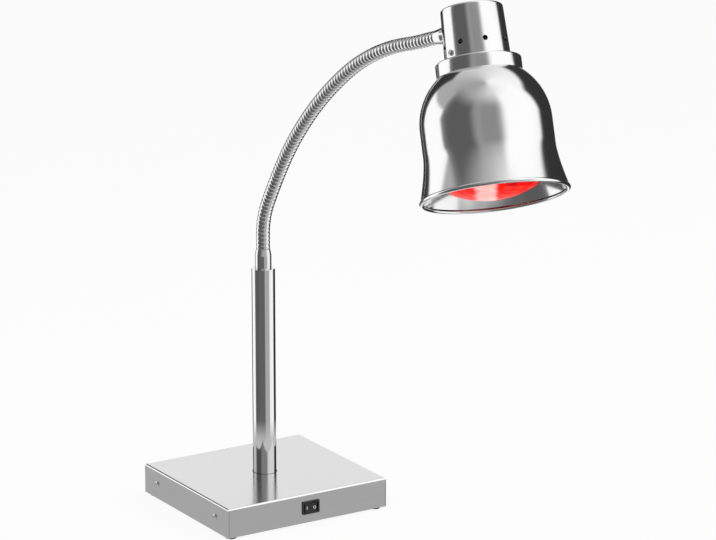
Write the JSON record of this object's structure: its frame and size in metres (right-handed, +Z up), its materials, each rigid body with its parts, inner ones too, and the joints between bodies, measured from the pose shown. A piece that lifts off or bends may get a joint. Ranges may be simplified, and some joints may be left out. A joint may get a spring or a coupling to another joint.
{
  "type": "food heat lamp",
  "caption": "Free-standing food heat lamp: weighted stainless base with rocker switch, chrome pole, ribbed flexible arm, polished bell shade and ruby reflector bulb.",
  "frame": {"origin": "On the pole's axis, in the plane that the feet stand on.", "axes": "+Z up, along the pole; -Y front, the side with the switch, which the arm leans over; +X the lamp's right when seen from the front"},
  "size_m": [0.301, 0.6831, 0.7769],
  "materials": {
    "brushed_stainless": "brushed, fine grain",
    "polished_chrome": "polished plated",
    "polished_aluminium": "polished spun sheet",
    "bright_steel": "bright plated",
    "zinc_steel": "zinc plated",
    "cast_iron": "painted iron plate",
    "black_rubber": "matte rubber",
    "black_plastic": "moulded, satin gloss",
    "cable_sleeve": "smooth sleeve",
    "white_plastic": "moulded",
    "brass": "bright brass",
    "ceramic": "white, unglazed",
    "ruby_glass": "ruby lacquered glass",
    "clear_glass": "clear",
    "red_wire": "PVC insulation"
  },
  "bodies": {
    "base": {"base_shell": "brushed_stainless", "base_tray": "zinc_steel", "side_screws": "bright_steel", "feet": "black_rubber", "foot_screws": "zinc_steel", "ballast_plate": "cast_iron", "ballast_screws": "zinc_steel", "switch_housing": "black_plastic", "switch_terminals": "brass", "cord_gland": "black_plastic", "gland_nut": "black_plastic", "terminal_block": "white_plastic", "earth_stud": "brass", "base_wires": "red_wire", "pole_tube": "polished_chrome", "pole_plug": "zinc_steel", "pole_backplate": "zinc_steel", "pole_nut": "zinc_steel", "pole_bush": "bright_steel", "lower_ferrule": "polished_chrome", "hose_1": "polished_chrome", "flex_1": "polished_chrome", "cable_1": "cable_sleeve"},
    "rocker": {"switch_rocker": "black_plastic"},
    "arm_2": {"hose_2": "polished_chrome", "flex_2": "polished_chrome", "cable_2": "cable_sleeve"},
    "arm_3": {"hose_3": "polished_chrome", "flex_3": "polished_chrome", "cable_3": "cable_sleeve"},
    "arm_4": {"hose_4": "polished_chrome", "flex_4": "polished_chrome", "cable_4": "cable_sleeve"},
    "arm_5": {"hose_5": "polished_chrome", "flex_5": "polished_chrome", "cable_5": "cable_sleeve"},
    "head": {"hose_6": "polished_chrome", "cable_6": "cable_sleeve", "upper_ferrule": "polished_chrome", "saddle_washer": "zinc_steel", "ferrule_nut": "zinc_steel", "lamp_cap": "polished_aluminium", "cap_screws": "bright_steel", "shade": "polished_aluminium", "holder_bracket": "zinc_steel", "holder_screws": "bright_steel", "lampholder": "ceramic", "socket_sleeve": "brass", "centre_contact": "brass", "lamp_leads": "white_plastic", "bulb_glass": "ruby_glass", "bulb_screw_cap": "brass", "bulb_filament": "clear_glass"}
  },
  "joints": [
    {"name": "bend_low", "type": "hinge", "parent": "base", "child": "arm_2", "pos_m": [0.00295, -0.01101, 0.4416], "axis": [0.9659, 0.2588, 0], "range_deg": [-20, 15], "deforming": ["flex_1", "cable_1", "cable_2"]},
    {"name": "sway_low", "type": "hinge", "parent": "arm_2", "child": "arm_3", "pos_m": [0.01355, -0.05058, 0.52167], "axis": [-0.2207, 0.8238, 0.5222], "range_deg": [-20, 20], "deforming": ["flex_2", "cable_2", "cable_3"]},
    {"name": "bend_middle", "type": "hinge", "parent": "arm_3", "child": "arm_4", "pos_m": [0.02751, -0.10266, 0.59357], "axis": [0.9659, 0.2588, 0], "range_deg": [-25, 20], "deforming": ["flex_3", "cable_3", "cable_4"]},
    {"name": "sway_high", "type": "hinge", "parent": "arm_4", "child": "arm_5", "pos_m": [0.04469, -0.16678, 0.65413], "axis": [-0.1518, 0.5666, 0.8099], "range_deg": [-30, 30], "deforming": ["flex_4", "cable_4", "cable_5"]},
    {"name": "bend_high", "type": "hinge", "parent": "arm_5", "child": "head", "pos_m": [0.06542, -0.24414, 0.69433], "axis": [0.9659, 0.2588, 0], "range_deg": [-30, 25], "deforming": ["flex_5", "cable_5", "cable_6"]},
    {"name": "rocker_tip", "type": "hinge", "parent": "base", "child": "rocker", "pos_m": [0.004, -0.1136, 0.0255], "axis": [0, 0, 1], "range_deg": [0, 18]}
  ]
}
